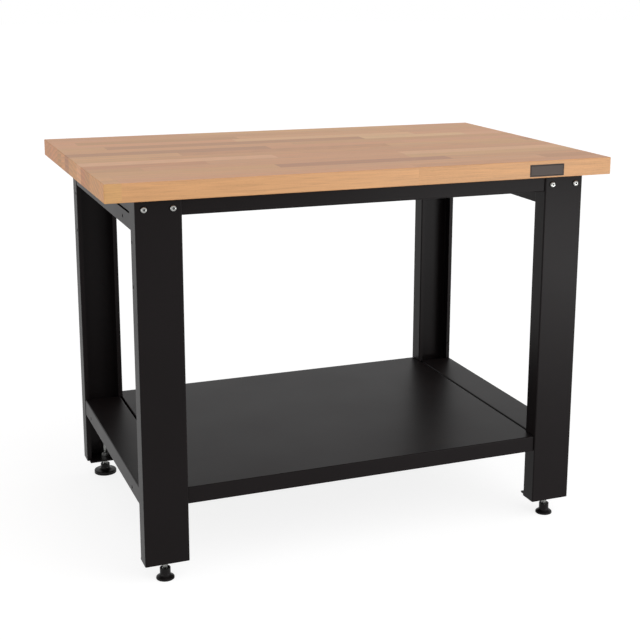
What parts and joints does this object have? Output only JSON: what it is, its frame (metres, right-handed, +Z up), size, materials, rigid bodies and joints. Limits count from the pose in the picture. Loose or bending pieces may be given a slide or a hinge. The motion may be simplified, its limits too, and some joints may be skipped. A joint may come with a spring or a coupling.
{
  "type": "assembly table",
  "caption": "Assembly table: solid wood worktop on a bolted frame of folded sheet steel, with a full-width lower shelf and threaded levelling feet.",
  "frame": {"origin": "on the floor, under the middle of the table", "axes": "+X along the front edge towards the badge plate, +Y from the front to the back, +Z up"},
  "size_m": [1.2, 0.7505, 0.9],
  "materials": {
    "beech": "oiled glued-stave beech",
    "black_powder_coat": "satin black powder coat",
    "zinc_plated_steel": "bright zinc plate",
    "badge_steel": "dark satin, bare of any marking",
    "black_polyamide": "moulded, satin"
  },
  "bodies": {
    "frame": {"worktop": "beech", "badge_plate": "badge_steel", "leg_front_left": "black_powder_coat", "leg_front_right": "black_powder_coat", "leg_rear_left": "black_powder_coat", "leg_rear_right": "black_powder_coat", "base_plate_front_left": "black_powder_coat", "base_plate_front_right": "black_powder_coat", "base_plate_rear_left": "black_powder_coat", "base_plate_rear_right": "black_powder_coat", "upper_rail_left": "black_powder_coat", "upper_rail_right": "black_powder_coat", "lower_rail_left": "black_powder_coat", "lower_rail_right": "black_powder_coat", "apron_front": "black_powder_coat", "apron_rear": "black_powder_coat", "shelf": "black_powder_coat", "leg_bolts": "zinc_plated_steel", "leg_bolt_washers": "zinc_plated_steel", "leg_bolt_nuts": "zinc_plated_steel", "leg_crush_tubes": "zinc_plated_steel", "rail_clamp_front_left": "zinc_plated_steel", "rail_clamp_front_right": "zinc_plated_steel", "rail_clamp_rear_left": "zinc_plated_steel", "rail_clamp_rear_right": "zinc_plated_steel", "rail_bolts": "zinc_plated_steel", "apron_bolts": "zinc_plated_steel", "apron_nuts": "zinc_plated_steel", "worktop_screws": "zinc_plated_steel", "shelf_bolts": "zinc_plated_steel", "shelf_nuts": "zinc_plated_steel", "foot_weld_nuts": "zinc_plated_steel", "foot_lock_nuts": "zinc_plated_steel"},
    "foot_pad_front_left": {"foot_pad_front_left": "black_polyamide"},
    "foot_stud_front_left": {"foot_stud_front_left": "zinc_plated_steel"},
    "foot_pad_front_right": {"foot_pad_front_right": "black_polyamide"},
    "foot_stud_front_right": {"foot_stud_front_right": "zinc_plated_steel"},
    "foot_pad_rear_left": {"foot_pad_rear_left": "black_polyamide"},
    "foot_stud_rear_left": {"foot_stud_rear_left": "zinc_plated_steel"},
    "foot_pad_rear_right": {"foot_pad_rear_right": "black_polyamide"},
    "foot_stud_rear_right": {"foot_stud_rear_right": "zinc_plated_steel"}
  },
  "joints": [
    {"name": "foot_front_left_height", "type": "slide", "parent": "frame", "child": "foot_pad_front_left", "axis": [0, 0, 1], "range_m": [-0.01925, 0.00875]},
    {"name": "foot_front_left_turn", "type": "hinge", "parent": "foot_pad_front_left", "child": "foot_stud_front_left", "pos_m": [-0.485, -0.33, 0], "axis": [0, 0, 1], "range_deg": [-3960, 1800]},
    {"name": "foot_front_right_height", "type": "slide", "parent": "frame", "child": "foot_pad_front_right", "axis": [0, 0, 1], "range_m": [-0.01925, 0.00875]},
    {"name": "foot_front_right_turn", "type": "hinge", "parent": "foot_pad_front_right", "child": "foot_stud_front_right", "pos_m": [0.485, -0.33, 0], "axis": [0, 0, 1], "range_deg": [-3960, 1800]},
    {"name": "foot_rear_left_height", "type": "slide", "parent": "frame", "child": "foot_pad_rear_left", "axis": [0, 0, 1], "range_m": [-0.01925, 0.00875]},
    {"name": "foot_rear_left_turn", "type": "hinge", "parent": "foot_pad_rear_left", "child": "foot_stud_rear_left", "pos_m": [-0.485, 0.33, 0], "axis": [0, 0, 1], "range_deg": [-3960, 1800]},
    {"name": "foot_rear_right_height", "type": "slide", "parent": "frame", "child": "foot_pad_rear_right", "axis": [0, 0, 1], "range_m": [-0.01925, 0.00875]},
    {"name": "foot_rear_right_turn", "type": "hinge", "parent": "foot_pad_rear_right", "child": "foot_stud_rear_right", "pos_m": [0.485, 0.33, 0], "axis": [0, 0, 1], "range_deg": [-3960, 1800]}
  ],
  "couplings": [
    {"joint": "foot_front_left_turn", "follows": "foot_front_left_height", "rad_per_m": 3590.4},
    {"joint": "foot_front_right_turn", "follows": "foot_front_right_height", "rad_per_m": 3590.4},
    {"joint": "foot_rear_left_turn", "follows": "foot_rear_left_height", "rad_per_m": 3590.4},
    {"joint": "foot_rear_right_turn", "follows": "foot_rear_right_height", "rad_per_m": 3590.4}
  ]
}
